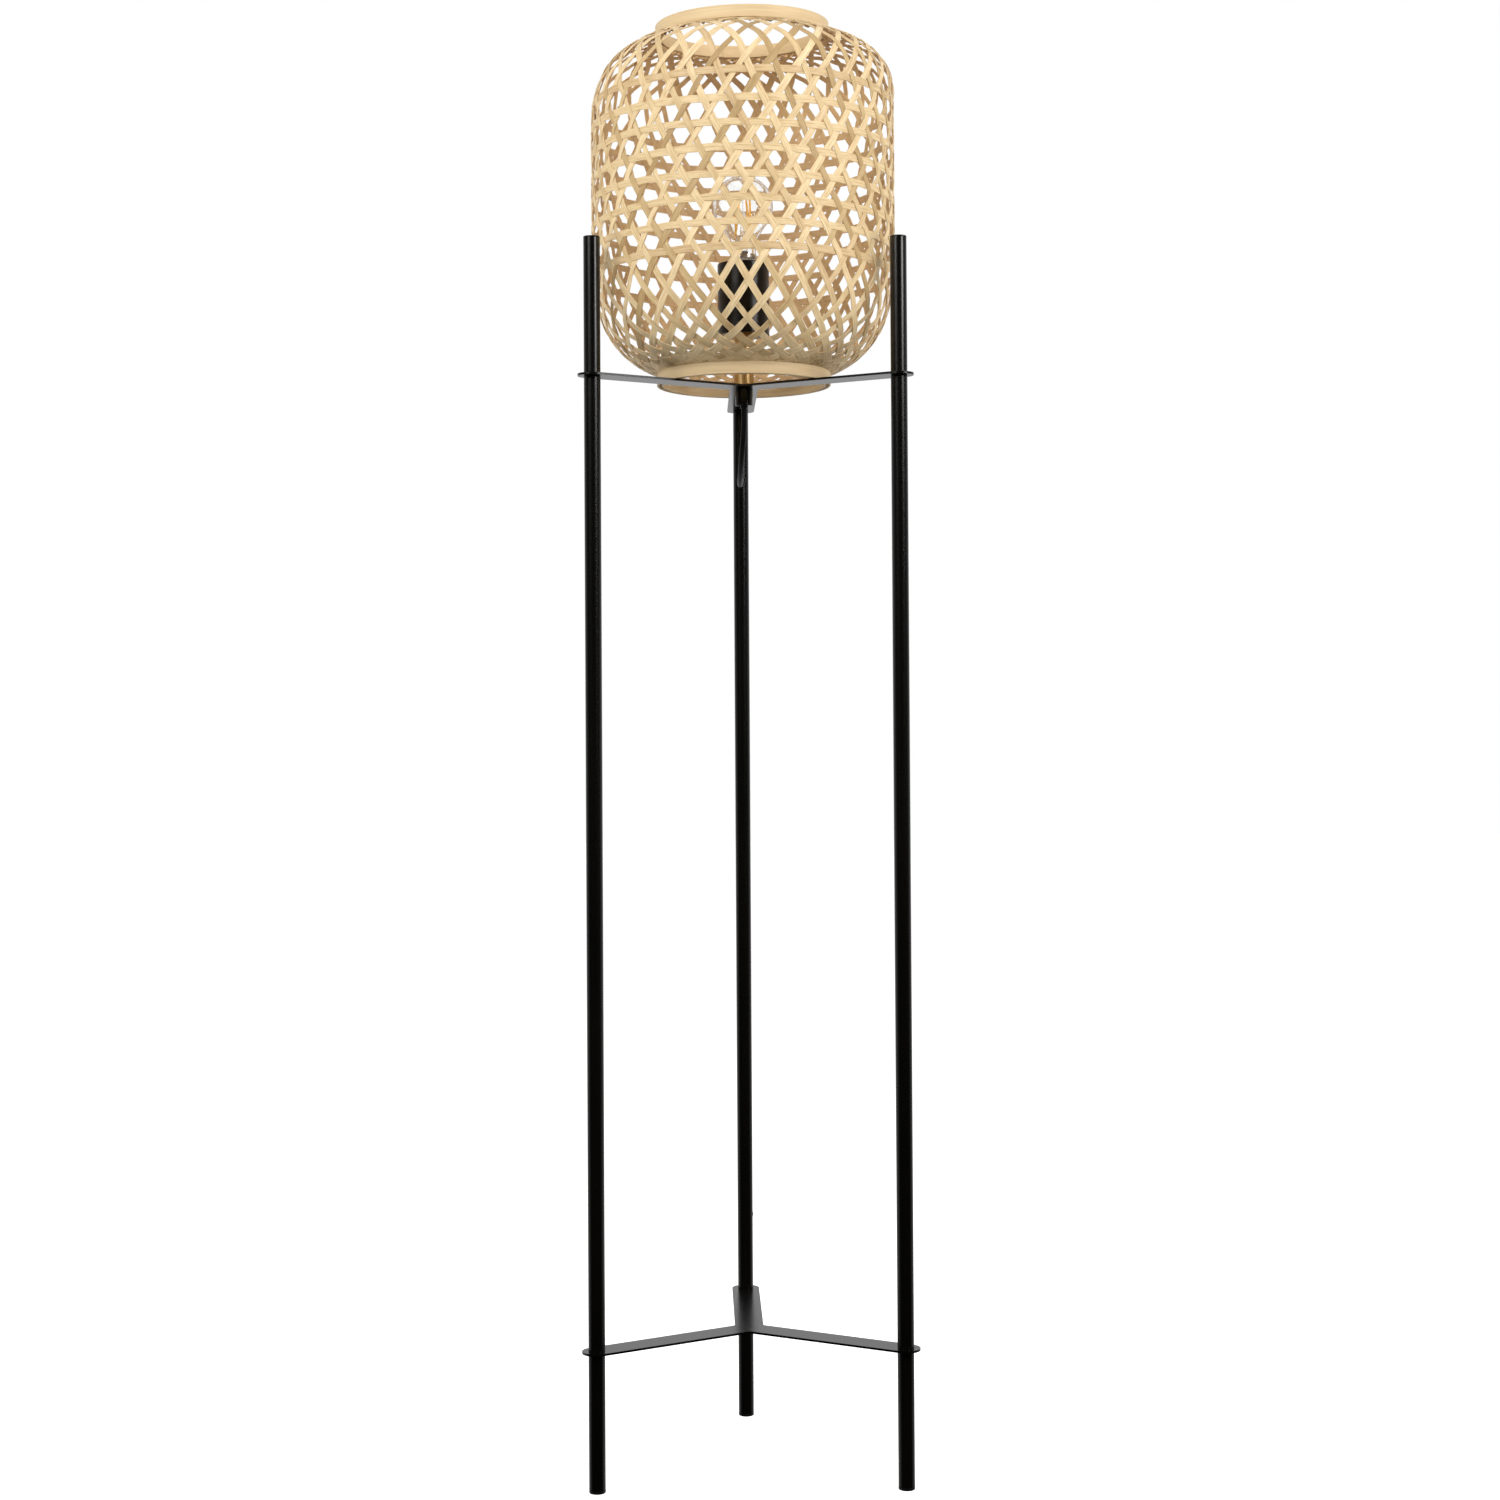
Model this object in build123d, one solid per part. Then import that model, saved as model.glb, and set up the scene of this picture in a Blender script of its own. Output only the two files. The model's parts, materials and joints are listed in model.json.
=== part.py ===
from build123d import *
import math
import os

# Tripod floor lamp: three straight black steel posts joined by two Y-shaped plates, with a
# bamboo lantern standing on the upper plate around a bare bulb.
# Millimetres. +Z is up, and the origin is on the lamp's axis at floor level. Two legs stand in
# front, towards -Y, and one behind, towards +Y.

# ---- driving dimensions: the stand
LEG_CIRCLE = 170.0  # from the lamp's axis to each leg's axis
LEG_ANGLES = {"left": 210.0, "right": 330.0, "rear": 90.0}
LEG_HEIGHT = 1198.0
TUBE_D = 16.0
TUBE_WALL = 1.2
TUBE_END_CHAMFER = 0.3
FOOT_LENGTH = 132.0  # floor to lower plate, and upper plate to the leg's top
PLATE_T = 2.2
ARM_WIDTH = 28.3
ARM_CORNER_R = 2.5
PAD_T = 3.0
PAD_EDGE_R = 1.0
POST_CAP_T = 1.2
POST_CAP_EDGE_R = 0.5
PLUG_LENGTH = 11.0  # how far a pad or a cap reaches into its tube
PLUG_GAP = 0.05
INSERT_LENGTH = 16.0
THREAD_D = 10.0
THREAD_GAP = 0.05
STUD_BORE_D = 7.4
STUD_REACH = 12.0  # into each insert
PLATE_HOLE_D = 10.4

# ---- driving dimensions: the lamp on the axis
SPACER_D = 20.0
UNDER_CAP_D = 17.4
UNDER_CAP_LENGTH = 17.4
UNDER_CAP_WALL = 1.8
HOLDER_D = 51.3
HOLDER_BOTTOM = 1116.4
HOLDER_TOP = 1187.5
HOLDER_WALL = 1.6
HOLDER_LIP_R = 19.6
INSERT_BODY_R = 19.0
SHELL_R = 13.7  # inside of the lamp socket's screw shell
SHELL_T = 0.4
BULB_R = 30.0
BULB_TOP = 1276.0
BULB_NECK_R = 12.9
CAP_R = 13.2
CAP_TOP = 1196.7
CAP_BOTTOM = 1173.0
NECK_IN_CAP = 4.0  # how far the glass reaches into the cap
THREAD_PITCH = 3.6
THREAD_DEPTH = 0.9
GLASS_T = 0.8
FILAMENT_COUNT = 4
FILAMENT_R = 1.1
FILAMENT_CIRCLE = 10.5
FILAMENT_BOTTOM = 1215.0
FILAMENT_TOP = 1253.0
WIRE_R = 0.35

# ---- driving dimensions: the bamboo shade
SHADE_BOTTOM = 1066.3
SHADE_TOP = 1426.0  # of the top hoops at the axis
SHADE_R = 150.8
HOOP_R = 86.4
HOOP_H = 12.2
HOOP_T = 2.2
WEAVE_T = 1.6
WEAVE_GAP = 0.35
NECK_DROP = 4.5  # the weave stands upright from this far below the top hoops, which lean
BELLY_BOTTOM = 1246.6  # below this height the shade draws in towards its foot
BELLY_TOP = 1283.0  # above this height it draws in towards its mouth
TOP_CURVE = (5.58, 1.247)  # exponents of the shoulder's curve
BOTTOM_CURVE = (4.61, 1.342)
RIM_LEAN = (0.0169, 0.0456)  # rise of the mouth's plane along +X and +Y: the rim isn't quite level

# ---- driving dimensions: the mains lead
CORD_D = 5.5
ENTRY_HEIGHT = 990.0  # of the hole in the rear leg
ENTRY_HOLE_D = 8.4
OUTLET_HEIGHT = 296.0
OUTLET_HOLE_D = 8.4
RELIEF_LENGTH = 20.0
HANG_Y = 209.0  # where the lead hangs down behind the rear leg
SIGHT_SLOPE = 0.0206  # the pieces behind the rear leg follow this line, in X per Y
SWITCH_Z = 196.0
SWITCH_SIZE = (12.0, 25.0, 58.0)
SWITCH_WALL = 1.6
ROCKER_SIZE = (9.4, 20.0)  # across and along the switch
ROCKER_TILT = 8.0
HANK_BOTTOM = 0.4
HANK_RUN = 85.0
HANK_FOLD_R = 22.0  # of the outer turn's centre line
HANK_COLUMN = 5.8  # between the two columns of turns
PLUG_Y = 289.5
PLUG_BODY = (13.7, 35.0, 36.0)
PIN_D = 4.0
PIN_LENGTH = 19.0
PIN_SPACING = 18.6
PIN_CLEARANCE = 1.0  # of the pins' tips over the floor
PIN_ROOT_D = 3.2  # inside the plug's body
PIN_ROOT_LENGTH = 8.0
PIN_SHOULDER = 0.2  # of full width short of the plug's face
PIN_TIP_R = 1.2
PLUG_RELIEF = 26.0

# ---- derived sizes
tube_r = TUBE_D / 2
bore_r = tube_r - TUBE_WALL
lower_plate_top = FOOT_LENGTH + PLATE_T
upper_plate_top = LEG_HEIGHT - FOOT_LENGTH
upper_plate_bottom = upper_plate_top - PLATE_T
middle = LEG_HEIGHT / 2
cord_r = CORD_D / 2
parts = {}


def add(name, shape):
    """Keep a sub-part, or several identical solids, under the name of its node."""
    solids = shape.solids() if not isinstance(shape, list) else [s for i in shape for s in i.solids()]
    parts[name] = solids[0] if len(solids) == 1 else Compound(children=list(solids))


def rod(radius, bottom, top, x=0.0, y=0.0):
    return Pos(x, y, bottom) * Cylinder(radius, top - bottom, align=(Align.CENTER, Align.CENTER, Align.MIN))


def pipe(outer, inner, bottom, top, x=0.0, y=0.0):
    return rod(outer, bottom, top, x, y) - rod(inner, bottom - 1, top + 1, x, y)


def beam_rod(radius, start, end):
    """A round bar from one point to another."""
    along = Vector(*end) - Vector(*start)
    place = Plane(origin=start, z_dir=along)
    return place * Cylinder(radius, along.length, align=(Align.CENTER, Align.CENTER, Align.MIN))


def cone_rod(start_r, end_r, start, end):
    along = Vector(*end) - Vector(*start)
    place = Plane(origin=start, z_dir=along)
    return place * Cone(start_r, end_r, along.length, align=(Align.CENTER, Align.CENTER, Align.MIN))


def turned(outline):
    """A solid of revolution about the lamp's axis from (radius, height) points."""
    profile = Polyline(*[(r, 0, z) for r, z in outline], close=True)
    return revolve(make_face(profile), Axis.Z)


def leg_xy(which):
    angle = math.radians(LEG_ANGLES[which])
    return LEG_CIRCLE * math.cos(angle), LEG_CIRCLE * math.sin(angle)


def around_legs(make):
    return [make(*leg_xy(which)) for which in LEG_ANGLES]


# ---- the stand
def y_plate(bottom, hub_hole):
    """Three flat arms with round ends, one to each leg, and a hole at the hub for the lamp pipe."""
    arms = []
    for angle in LEG_ANGLES.values():
        turn = Rot(0, 0, angle)
        bar = turn * Pos(LEG_CIRCLE / 2, 0, 0) * Rectangle(LEG_CIRCLE, ARM_WIDTH)
        tip = turn * Pos(LEG_CIRCLE, 0, 0) * Circle(ARM_WIDTH / 2)
        arms += [bar, tip]
    outline = arms[0].fuse(*arms[1:]).clean()
    inner_corners = [v for v in outline.vertices() if Vector(v.X, v.Y, 0).length < ARM_WIDTH]
    outline = fillet(inner_corners, ARM_CORNER_R)
    holes = [Pos(*leg_xy(which)) * Circle(PLATE_HOLE_D / 2) for which in LEG_ANGLES]
    if hub_hole:
        holes.append(Circle(PLATE_HOLE_D / 2))
    for hole in holes:
        outline = outline - hole
    return Pos(0, 0, bottom) * extrude(outline, PLATE_T)


def foot_pad(x, y):
    disc = rod(tube_r, 0, PAD_T, x, y)
    disc = fillet(disc.edges().group_by(Axis.Z)[0], PAD_EDGE_R)
    return disc + rod(bore_r - PLUG_GAP, PAD_T, PAD_T + PLUG_LENGTH, x, y)


def post_cap(x, y):
    disc = rod(tube_r, LEG_HEIGHT - POST_CAP_T, LEG_HEIGHT, x, y)
    disc = fillet(disc.edges().group_by(Axis.Z)[-1], POST_CAP_EDGE_R)
    below = LEG_HEIGHT - POST_CAP_T
    return disc + rod(bore_r - PLUG_GAP, below - PLUG_LENGTH, below, x, y)


rear_x, rear_y = leg_xy("rear")
leg_front = rear_y - tube_r
leg_back = rear_y + tube_r
down_back = Vector(0, math.sin(math.radians(45)), -math.cos(math.radians(45)))
outlet = Vector(rear_x, leg_back, OUTLET_HEIGHT)


def tube_stretch(which, bottom, top):
    """A length of leg tube with both ends broken, so that the joints show as fine lines."""
    x, y = leg_xy(which)
    tube = pipe(tube_r, bore_r, bottom, top, x, y)
    rims = [e for e in tube.edges().filter_by(GeomType.CIRCLE) if e.radius > bore_r + TUBE_WALL / 2]
    return chamfer(rims, TUBE_END_CHAMFER)


def rear_upper_leg():
    """The rear tube has a round hole in front, where the lead goes in."""
    drill = beam_rod(ENTRY_HOLE_D / 2, (rear_x, leg_front - 5, ENTRY_HEIGHT), (rear_x, rear_y, ENTRY_HEIGHT))
    return tube_stretch("rear", middle, upper_plate_bottom) - drill


def rear_lower_leg():
    """The hole behind slopes down, so that the lead leaves without a kink."""
    inside = outlet - down_back * 10
    outside = outlet + down_back * 10
    drill = beam_rod(OUTLET_HOLE_D / 2, tuple(inside), tuple(outside))
    return tube_stretch("rear", lower_plate_top, middle) - drill


def make_stand():
    add("lower_plate", y_plate(FOOT_LENGTH, hub_hole=False))
    add("upper_plate", y_plate(upper_plate_bottom, hub_hole=True))
    for which in LEG_ANGLES:
        add(f"{which}_foot_tube", tube_stretch(which, PAD_T, FOOT_LENGTH))
        add(f"{which}_top_post", tube_stretch(which, upper_plate_top, LEG_HEIGHT - POST_CAP_T))
        if which == "rear":
            add("rear_lower_leg", rear_lower_leg())
            add("rear_upper_leg", rear_upper_leg())
        else:
            add(f"{which}_lower_leg", tube_stretch(which, lower_plate_top, middle))
            add(f"{which}_upper_leg", tube_stretch(which, middle, upper_plate_bottom))
    add("foot_pads", around_legs(foot_pad))
    add("post_caps", around_legs(post_cap))

    tube_ends = [
        FOOT_LENGTH - INSERT_LENGTH,
        lower_plate_top,
        middle - INSERT_LENGTH,
        middle,
        upper_plate_bottom - INSERT_LENGTH,
        upper_plate_top,
    ]
    inserts = []
    for z in tube_ends:
        for which in LEG_ANGLES:
            x, y = leg_xy(which)
            inserts.append(pipe(bore_r - PLUG_GAP, THREAD_D / 2, z, z + INSERT_LENGTH, x, y))
    add("tube_inserts", inserts)

    stud_r = THREAD_D / 2 - THREAD_GAP
    plate_studs = []
    for z in (FOOT_LENGTH, upper_plate_bottom):
        stud_bottom = z - STUD_REACH
        stud_top = z + PLATE_T + STUD_REACH
        plate_studs += around_legs(lambda x, y: pipe(stud_r, STUD_BORE_D / 2, stud_bottom, stud_top, x, y))
    add("plate_studs", plate_studs)
    mid_stud_ends = (middle - STUD_REACH, middle + STUD_REACH)
    add("mid_leg_studs", around_legs(lambda x, y: pipe(stud_r, STUD_BORE_D / 2, *mid_stud_ends, x, y)))


# ---- the lampholder on the axis
def make_lampholder():
    stud_r = THREAD_D / 2 - THREAD_GAP
    cap_bottom = upper_plate_bottom - UNDER_CAP_LENGTH
    cap_r = UNDER_CAP_D / 2
    cap = rod(cap_r, cap_bottom, upper_plate_bottom)
    cap = fillet(cap.edges().group_by(Axis.Z)[0], 0.8)
    cap -= rod(cap_r - UNDER_CAP_WALL, cap_bottom + 2.2, upper_plate_bottom + 1)
    cap -= rod(cord_r + 1.0, cap_bottom - 1, cap_bottom + 3)
    add("under_plate_cap", cap)
    bushing = pipe(cord_r + 0.95, cord_r + 0.1, cap_bottom - 2.6, cap_bottom + 2.2)
    add("cap_bushing", bushing)

    pipe_bottom = cap_bottom + 5
    add("lamp_pipe", pipe(stud_r, STUD_BORE_D / 2, pipe_bottom, HOLDER_BOTTOM + 9))
    nut = Pos(0, 0, upper_plate_bottom - 4) * extrude(RegularPolygon(6.6, 6), 4)
    add("pipe_nut", nut - rod(THREAD_D / 2, upper_plate_bottom - 6, upper_plate_bottom + 1))
    sleeve = pipe(SPACER_D / 2, SPACER_D / 2 - 2, upper_plate_top, HOLDER_BOTTOM)
    add("spacer_sleeve", sleeve)

    outer = HOLDER_D / 2
    cover = rod(outer, HOLDER_BOTTOM, HOLDER_TOP)
    cover = fillet(cover.edges().filter_by(GeomType.CIRCLE), 0.9)
    cover -= rod(outer - HOLDER_WALL, HOLDER_BOTTOM + 2, HOLDER_TOP - 2)
    cover -= rod(HOLDER_LIP_R, HOLDER_TOP - 3, HOLDER_TOP + 1)
    cover -= rod(PLATE_HOLE_D / 2, HOLDER_BOTTOM - 1, HOLDER_BOTTOM + 3)
    add("holder_cover", cover)
    nut = Pos(0, 0, HOLDER_BOTTOM + 2) * extrude(RegularPolygon(8.0, 6), 4)
    add("holder_nut", nut - rod(THREAD_D / 2, HOLDER_BOTTOM, HOLDER_BOTTOM + 8))

    # the insulating body: a cup with a thick floor, which holds the screw shell and the contacts
    floor = CAP_BOTTOM - 6.5
    body = rod(INSERT_BODY_R, HOLDER_BOTTOM + 6, HOLDER_TOP - 0.6)
    body -= rod(SHELL_R + SHELL_T, floor, HOLDER_TOP + 1)
    for side in (-1, 1):
        body -= Pos(side * 11, 0, HOLDER_BOTTOM + 18) * Box(8.4, 10.4, 12.4)
    body -= rod(PLATE_HOLE_D / 2, HOLDER_BOTTOM + 5, HOLDER_BOTTOM + 24)
    add("holder_body", body)
    add("screw_shell", pipe(SHELL_R + SHELL_T - 0.02, SHELL_R, floor + 3, HOLDER_TOP - 3))
    tongue = Pos(0, 0, floor + 0.4) * Box(12, 5, 0.6)
    tongue += beam_rod(1.2, (0, 0, floor + 0.6), (0, 0, CAP_BOTTOM - 3.7))
    add("centre_contact", tongue)
    terminals = []
    screws = []
    for side in (-1, 1):
        block = Pos(side * 11, 0, HOLDER_BOTTOM + 18) * Box(8, 10, 12)
        block -= rod(1.6, HOLDER_BOTTOM, HOLDER_BOTTOM + 30, side * 11, 0)
        start = (side * 15.2, 0, HOLDER_BOTTOM + 18)
        block -= beam_rod(1.5, start, (side * 11, 0, HOLDER_BOTTOM + 18))
        terminals.append(block)
        screw_tip = (side * 12.7, 0, HOLDER_BOTTOM + 18)
        screws.append(beam_rod(1.45, (side * 15.1, 0, HOLDER_BOTTOM + 18), screw_tip))
    add("wire_terminals", terminals)
    add("terminal_screws", screws)


# ---- the bulb
def bulb_outline(offset):
    """Glass outline from the neck up to the crown, offset inwards."""
    radius = BULB_R - offset
    centre = BULB_TOP - BULB_R
    neck_r = BULB_NECK_R - offset
    leave = math.radians(-38)
    shoulder = (radius * math.cos(leave), centre + radius * math.sin(leave))
    round_part = ThreePointArc(
        (0, 0, centre + radius),
        (radius * math.cos(math.radians(30)), 0, centre + radius * math.sin(math.radians(30))),
        (shoulder[0], 0, shoulder[1]),
    )
    neck_top = CAP_TOP + 2
    neck = Spline(
        (shoulder[0], 0, shoulder[1]),
        (neck_r, 0, neck_top),
        tangents=((math.sin(leave), 0, -math.cos(leave)), (0, 0, -1)),
    )
    collar = Line((neck_r, 0, neck_top), (neck_r, 0, CAP_TOP - NECK_IN_CAP))
    return [round_part, neck, collar], neck_r


def make_bulb():
    outer_lines, outer_r = bulb_outline(0)
    inner_lines, inner_r = bulb_outline(GLASS_T)
    foot = CAP_TOP - NECK_IN_CAP
    rim = Line((outer_r, 0, foot), (inner_r, 0, foot))
    crown = Line((0, 0, BULB_TOP), (0, 0, BULB_TOP - GLASS_T))
    wall = make_face(Wire([*outer_lines, rim, *inner_lines, crown]).edges())
    add("bulb_glass", revolve(wall, Axis.Z))

    ridges = [(CAP_R - 0.9, CAP_BOTTOM)]
    z = CAP_BOTTOM + 1.5
    while z < CAP_TOP - 6:
        ridges += [(CAP_R - THREAD_DEPTH, z), (CAP_R, z + THREAD_PITCH / 2)]
        z += THREAD_PITCH
    ridges += [(CAP_R - THREAD_DEPTH, z), (CAP_R, z + 1.2), (CAP_R, CAP_TOP)]
    glue_r = BULB_NECK_R + 0.02
    inner = [(glue_r, CAP_TOP), (glue_r, foot - 0.1), (11.6, foot - 0.1), (11.6, CAP_BOTTOM)]
    add("bulb_cap", turned(ridges + inner))
    add("bulb_insulator", turned([(0, CAP_BOTTOM - 2.2), (5.2, CAP_BOTTOM - 2.2), (11.4, CAP_BOTTOM + 0.5),
                                  (11.4, CAP_BOTTOM + 3), (0, CAP_BOTTOM + 3)]))
    add("bulb_contact", rod(4.6, CAP_BOTTOM - 3.4, CAP_BOTTOM - 2.25))

    stem_foot = foot + 0.5
    stem = turned([(0, stem_foot), (9.5, stem_foot), (9.5, stem_foot + 1), (5, stem_foot + 7),
                   (3.4, FILAMENT_BOTTOM - 6), (2.4, FILAMENT_TOP - 14), (0, FILAMENT_TOP - 14)])
    add("bulb_stem", stem)

    sticks = []
    wires = []
    hub = (0, 0, FILAMENT_TOP + 1.5)
    spider = beam_rod(WIRE_R, (0, 0, FILAMENT_TOP - 14), hub)
    slant = math.radians(18)
    for i in range(FILAMENT_COUNT):
        angle = math.radians(45 + 360 / FILAMENT_COUNT * i)
        low_x = FILAMENT_CIRCLE * math.cos(angle)
        low_y = FILAMENT_CIRCLE * math.sin(angle)
        high_x = (FILAMENT_CIRCLE - 3) * math.cos(angle + slant)
        high_y = (FILAMENT_CIRCLE - 3) * math.sin(angle + slant)
        sticks.append(beam_rod(FILAMENT_R, (low_x, low_y, FILAMENT_BOTTOM), (high_x, high_y, FILAMENT_TOP)))
        root = (3.9 * math.cos(angle), 3.9 * math.sin(angle), FILAMENT_BOTTOM - 9)
        wires.append(beam_rod(WIRE_R, root, (low_x, low_y, FILAMENT_BOTTOM - 0.3)))
        spider += beam_rod(WIRE_R, hub, (high_x, high_y, FILAMENT_TOP + 0.3))
    wires.append(spider)
    add("bulb_filaments", sticks)
    add("bulb_wires", wires)


# ---- the shade
def shade_radius(z, mouth_r):
    """The weave's outer radius at a height: a straight belly between two rounded ends."""
    if z >= BELLY_TOP:
        share = (z - BELLY_TOP) / (SHADE_TOP - HOOP_H - NECK_DROP - BELLY_TOP)
        power, root = TOP_CURVE
    elif z <= BELLY_BOTTOM:
        share = (BELLY_BOTTOM - z) / (BELLY_BOTTOM - SHADE_BOTTOM - HOOP_H)
        power, root = BOTTOM_CURVE
    else:
        return SHADE_R
    return mouth_r + (SHADE_R - mouth_r) * max(0.0, 1 - min(share, 1.0) ** power) ** (1 / root)


def lean(shape, height):
    """Tip a hoop to the mouth's slightly uneven plane."""
    tilt_x = math.degrees(math.atan(RIM_LEAN[1]))
    tilt_y = -math.degrees(math.atan(RIM_LEAN[0]))
    return Pos(0, 0, height) * Rot(tilt_x, tilt_y, 0) * Pos(0, 0, -height) * shape


def make_shade():
    weave_outer = HOOP_R - HOOP_T - WEAVE_GAP
    weave_inner = weave_outer - WEAVE_T
    top_z = SHADE_TOP - HOOP_H - NECK_DROP
    bottom_z = SHADE_BOTTOM + HOOP_H
    steps = 14
    heights = []
    for i in range(1, steps):
        heights.append(bottom_z + (BELLY_BOTTOM - bottom_z) * (i / steps) ** 2)
    heights += [BELLY_BOTTOM, BELLY_TOP]
    for i in range(1, steps):
        heights.append(top_z - (top_z - BELLY_TOP) * ((steps - i) / steps) ** 2)
    # the wall turns upright at both ends, where the two hoops grip it
    foot = [(weave_outer, SHADE_BOTTOM + 1), (weave_outer, bottom_z)]
    mouth = [(weave_outer, top_z), (weave_outer, SHADE_TOP - 6)]
    outer = foot + [(shade_radius(z, weave_outer), z) for z in heights] + mouth
    inner = [(r - WEAVE_T, z) for r, z in outer]
    add("shade_weave", turned(outer + inner[::-1]))

    for place, bottom in (("bottom", SHADE_BOTTOM), ("top", SHADE_TOP - HOOP_H)):
        outer_hoop = pipe(HOOP_R, HOOP_R - HOOP_T, bottom, bottom + HOOP_H)
        inner_r = weave_inner - WEAVE_GAP
        inner_hoop = pipe(inner_r, inner_r - HOOP_T, bottom, bottom + HOOP_H)
        for side, hoop in (("outer", outer_hoop), ("inner", inner_hoop)):
            hoop = fillet(hoop.edges(), 0.5)
            add(f"{place}_{side}_hoop", lean(hoop, bottom + HOOP_H / 2) if place == "top" else hoop)


# ---- the mains lead
def sight_x(y):
    return SIGHT_SLOPE * (y - rear_y)


def cord_tube(name, points, end_radii=None):
    """A tube of straight runs joined by the largest arcs that fit between them."""
    points = [Vector(*p) for p in points]
    runs = [b - a for a, b in zip(points, points[1:])]
    radii = []
    for before, after in zip(runs, runs[1:]):
        turn = math.radians(before.get_angle(after))
        radii.append(0.45 * min(before.length, after.length) / math.tan(turn / 2))
    if end_radii:
        radii[-len(end_radii):] = end_radii
    path = FilletPolyline(*points, radius=radii) if radii else Line(*points)
    section = Plane(origin=points[0], z_dir=runs[0]) * Circle(cord_r)
    tube = sweep(section, path)
    add(name, tube)
    expected = math.pi * cord_r**2 * path.length
    print(f"{name}: length {path.length:.1f}, volume {tube.volume / expected:.4f} of section x length,",
          "radii", [round(r, 1) for r in radii])


def make_cord():
    cap_bottom = upper_plate_bottom - UNDER_CAP_LENGTH
    add("cord_in_pipe", rod(cord_r, cap_bottom, HOLDER_BOTTOM + 14))
    cord_tube(
        "cord_to_leg",
        [
            (0, 0, cap_bottom),
            (0, 0, cap_bottom - 22),
            (-2.2, 14, cap_bottom - 47),
            (-3.2, 44, cap_bottom - 66),
            (-3.0, 80, cap_bottom - 71),
            (-1.8, 112, cap_bottom - 65),
            (0, 140, ENTRY_HEIGHT),
            (0, leg_front + 2.5, ENTRY_HEIGHT),
        ],
    )
    elbow = 1.5  # beyond the leg's axis, where the lead turns down
    cord_tube(
        "cord_in_leg",
        [
            (0, leg_front + 2.5, ENTRY_HEIGHT),
            (0, rear_y + elbow, ENTRY_HEIGHT),
            (0, rear_y, ENTRY_HEIGHT - 30),
            (0, rear_y, OUTLET_HEIGHT + tube_r),
            tuple(outlet + down_back * 0.5),
        ],
        end_radii=[6.0, 60.0, 12.0],
    )
    saddle = pipe(tube_r + 0.9, tube_r, ENTRY_HEIGHT - 8, ENTRY_HEIGHT + 8, rear_x, rear_y)
    collar = beam_rod(5.4, (0, leg_front - 3, ENTRY_HEIGHT), (0, rear_y, ENTRY_HEIGHT))
    sleeve_r = ENTRY_HOLE_D / 2 - 0.05
    sleeve = beam_rod(sleeve_r, (0, leg_front - 0.4, ENTRY_HEIGHT), (0, leg_front + 2.5, ENTRY_HEIGHT))
    passage = beam_rod(cord_r + 0.1, (0, leg_front - 5, ENTRY_HEIGHT), (0, rear_y, ENTRY_HEIGHT))
    add("entry_grommet", (saddle & collar) + sleeve - passage)

    relief_end = outlet + down_back * RELIEF_LENGTH
    relief = cone_rod(5.2, 3.6, tuple(outlet + down_back * 1.0), tuple(relief_end))
    sleeve_r = OUTLET_HOLE_D / 2 - 0.05
    relief += beam_rod(sleeve_r, tuple(outlet - down_back * 1.5), tuple(outlet + down_back * 1.5))
    relief -= rod(tube_r + 0.05, OUTLET_HEIGHT - 40, OUTLET_HEIGHT + 20, rear_x, rear_y)
    relief -= beam_rod(cord_r + 0.1, tuple(outlet - down_back * 8), tuple(outlet + down_back * 30))
    add("outlet_relief", relief)

    hang_x = sight_x(HANG_Y)
    switch_top = SWITCH_Z + SWITCH_SIZE[2] / 2
    switch_bottom = SWITCH_Z - SWITCH_SIZE[2] / 2
    cord_tube(
        "cord_to_switch",
        [
            tuple(outlet + down_back * 0.5),
            (0, leg_back + 18.5, OUTLET_HEIGHT - 18.5),
            (hang_x - 0.1, HANG_Y - 3, OUTLET_HEIGHT - 36),
            (hang_x, HANG_Y, OUTLET_HEIGHT - 53),
            (hang_x, HANG_Y, switch_top - 1),
        ],
    )
    hank_top = HANK_BOTTOM + HANK_RUN + 2 * HANK_FOLD_R + CORD_D
    run_top = HANK_BOTTOM + cord_r + HANK_FOLD_R + HANK_RUN
    column = HANK_COLUMN / 2
    hank_y = HANG_Y + HANK_FOLD_R
    hank_x = sight_x(hank_y)
    hank_entry = (hank_x - column, HANG_Y, run_top + 0.2)
    add("cord_to_hank", beam_rod(cord_r, (hang_x, HANG_Y, switch_bottom + 1), hank_entry))
    half = HANK_FOLD_R + cord_r
    oval = SlotCenterToCenter(HANK_RUN, 2 * half)
    upright = Plane(origin=(hank_x, hank_y, (HANK_BOTTOM + hank_top) / 2), x_dir=(0, 0, 1), z_dir=(1, 0, 0))
    thick = HANK_COLUMN + CORD_D
    hank = upright * extrude(oval, thick / 2, both=True)
    entry = Pos(hank_x - column, HANG_Y, run_top + 25) * Box(CORD_D + 1, CORD_D + 1, 50)
    away_y = hank_y + HANK_FOLD_R
    leave = Pos(hank_x + column, away_y, run_top + 25) * Box(CORD_D + 1, CORD_D + 1, 50)
    add("cord_hank", hank - entry - leave)

    band_z = HANK_BOTTOM + 70
    tie = Pos(hank_x, hank_y, band_z) * Box(thick + 3.0, 2 * half + 3.0, 14)
    tie = fillet(tie.edges().filter_by(Axis.Z), 3.0)
    tie -= Pos(hank_x, hank_y, band_z) * Box(thick + 0.4, 2 * half + 0.4, 20)
    add("hank_tie", tie)

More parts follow.
